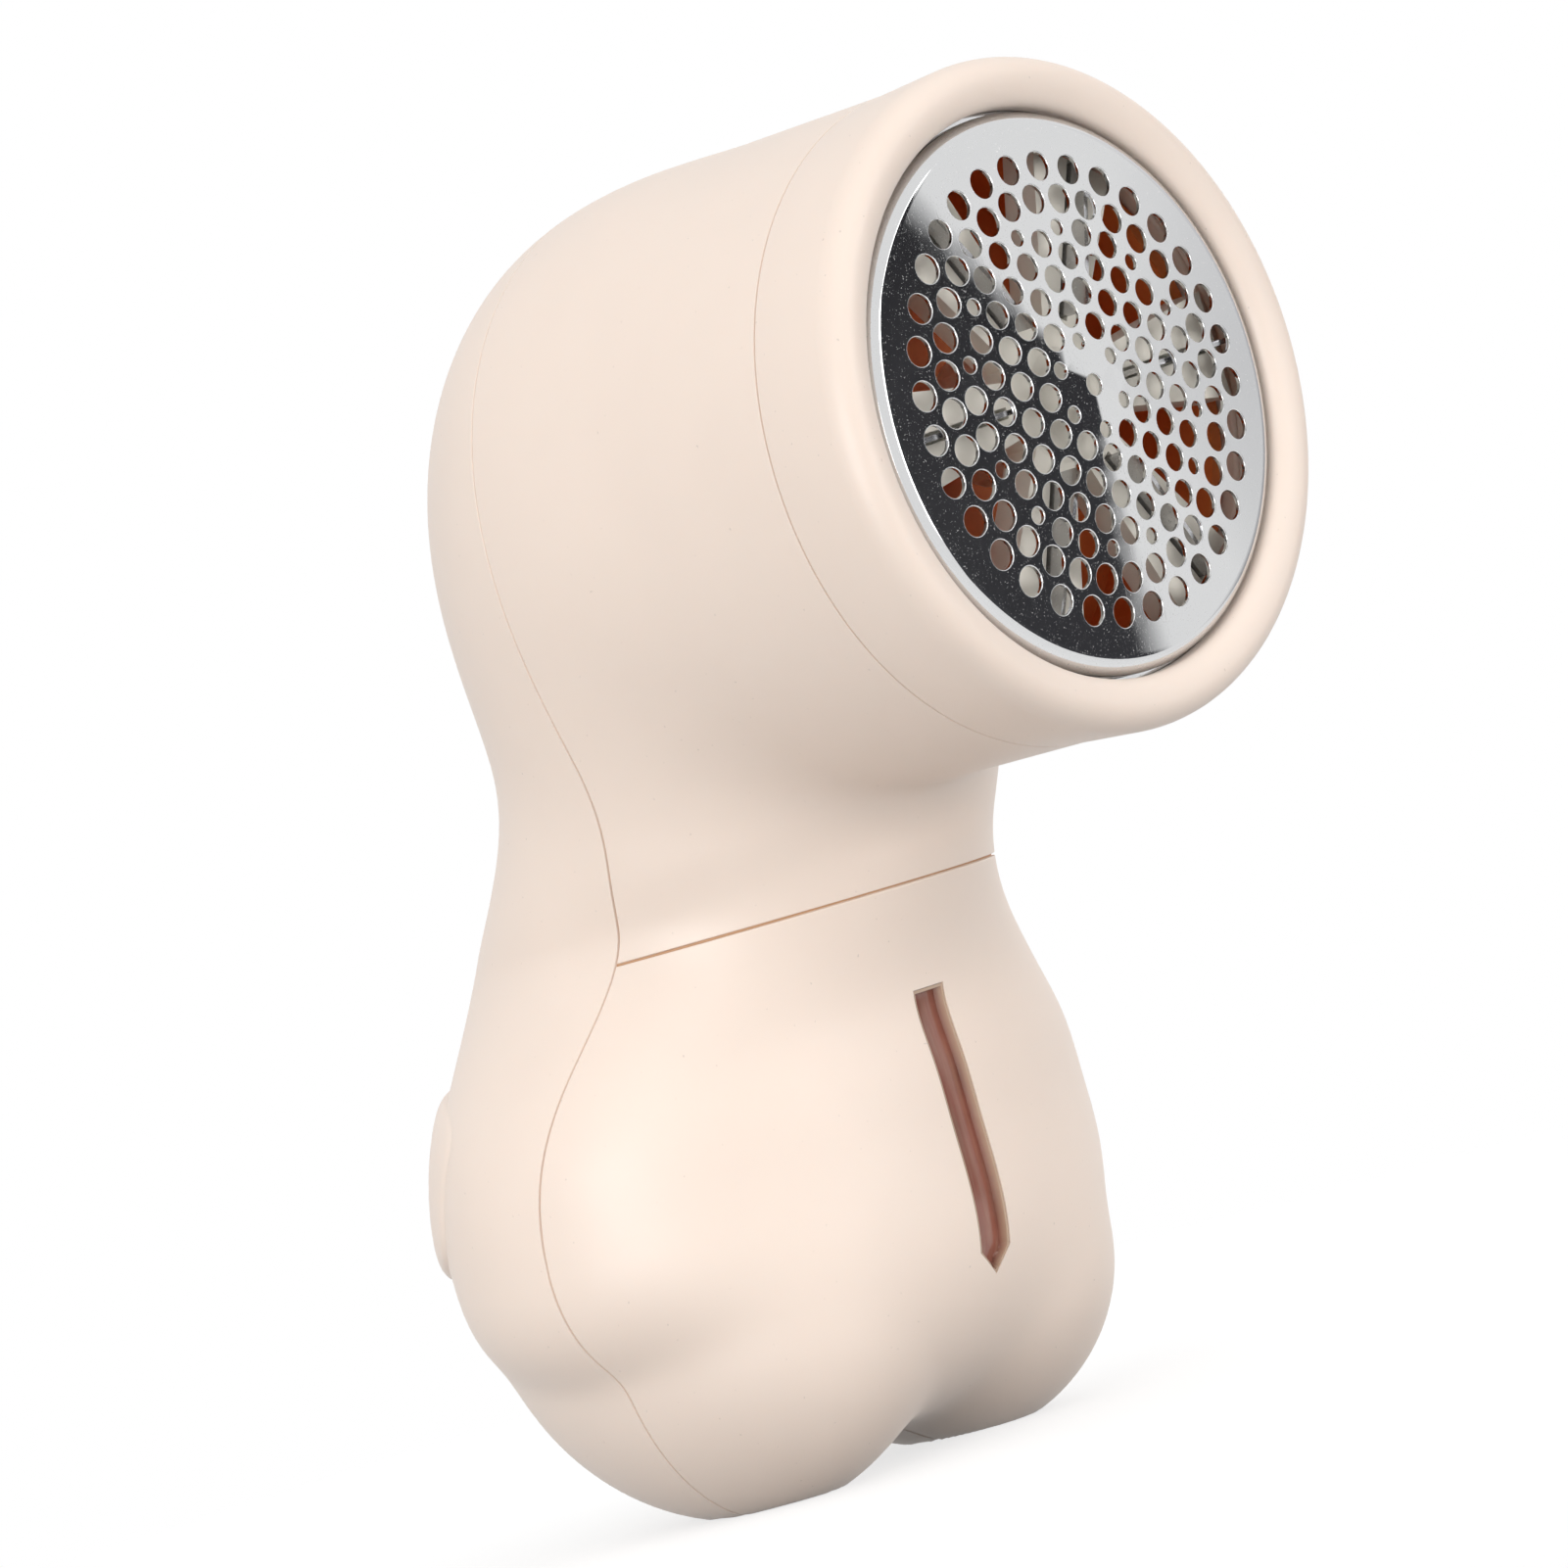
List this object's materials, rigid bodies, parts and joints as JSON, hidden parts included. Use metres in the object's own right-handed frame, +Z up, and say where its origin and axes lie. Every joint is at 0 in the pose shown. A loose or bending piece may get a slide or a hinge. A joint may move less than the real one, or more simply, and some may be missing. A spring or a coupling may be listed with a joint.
{
  "type": "fabric shaver",
  "caption": "Cordless fabric shaver with a paw-shaped handle, a barrel head with a guard ring and perforated steel foil over a spinning blade rotor, and a slide-off lint bin with a window.",
  "frame": {"origin": "middle of the bounding box on the ground, under the toes", "axes": "+Z up along the handle, -Y the way the shaving foil faces, +X to the right seen from the foil side"},
  "size_m": [0.0748, 0.0984, 0.128],
  "materials": {
    "cream_shell": "satin moulded, fine matt grain",
    "cream_inner": "satin moulded",
    "rust_plastic": "satin moulded, rust brown",
    "clear_window": "clear, polished",
    "foil_steel": "polished stainless sheet",
    "blade_steel": "ground stainless strip",
    "motor_steel": "plated steel",
    "screw_steel": "plated steel",
    "socket_steel": "plated steel",
    "black_plastic": "matt moulded",
    "board": "solder mask",
    "cell_sleeve": "shrink sleeve over a metal can",
    "lead_red": "insulated lead",
    "lead_black": "insulated lead"
  },
  "bodies": {
    "body": {"rear_shell": "cream_shell", "front_shell": "cream_shell", "inner_frame": "rust_plastic", "cutting_chamber": "rust_plastic", "motor_can": "motor_steel", "motor_end_cap": "black_plastic", "motor_screw_1": "screw_steel", "motor_screw_2": "screw_steel", "frame_screw_1": "screw_steel", "frame_screw_2": "screw_steel", "battery_cell": "cell_sleeve", "circuit_board": "board", "board_screw_1": "screw_steel", "board_screw_2": "screw_steel", "board_screw_3": "screw_steel", "charging_socket": "socket_steel", "switch_body": "black_plastic", "motor_lead_1": "lead_red", "motor_lead_2": "lead_black", "battery_lead": "lead_red"},
    "foil_cap": {"guard_ring": "cream_shell", "shaving_foil": "foil_steel", "foil_retainer": "cream_inner"},
    "rotor": {"blade_carrier": "cream_inner", "cutter_blade_1": "blade_steel", "cutter_blade_2": "blade_steel", "cutter_blade_3": "blade_steel", "cutter_blade_4": "blade_steel", "cutter_blade_5": "blade_steel", "cutter_blade_6": "blade_steel", "motor_armature": "motor_steel"},
    "bin": {"lint_bin": "cream_shell", "bin_window": "clear_window"},
    "button": {"power_button": "cream_shell"},
    "plunger": {"switch_plunger": "cream_inner"}
  },
  "joints": [
    {"name": "cap_pull", "type": "slide", "parent": "body", "child": "foil_cap", "axis": [0, -1, 0], "range_m": [0, 0.02]},
    {"name": "rotor_spin", "type": "hinge", "parent": "body", "child": "rotor", "pos_m": [0, -0.0405, 0.0955], "axis": [0, -1, 0], "continuous": true},
    {"name": "bin_slide", "type": "slide", "parent": "body", "child": "bin", "axis": [0, 0, -1], "range_m": [0, 0.04]},
    {"name": "button_press", "type": "slide", "parent": "body", "child": "button", "axis": [0, -1, 0], "range_m": [0, 0.001], "stiffness_N_per_m": 1500, "springref_m": -0.0005},
    {"name": "plunger_press", "type": "slide", "parent": "body", "child": "plunger", "axis": [0, -1, 0], "range_m": [0, 0.0012]}
  ],
  "couplings": [
    {"joint": "plunger_press", "follows": "button_press", "ratio": 1}
  ]
}
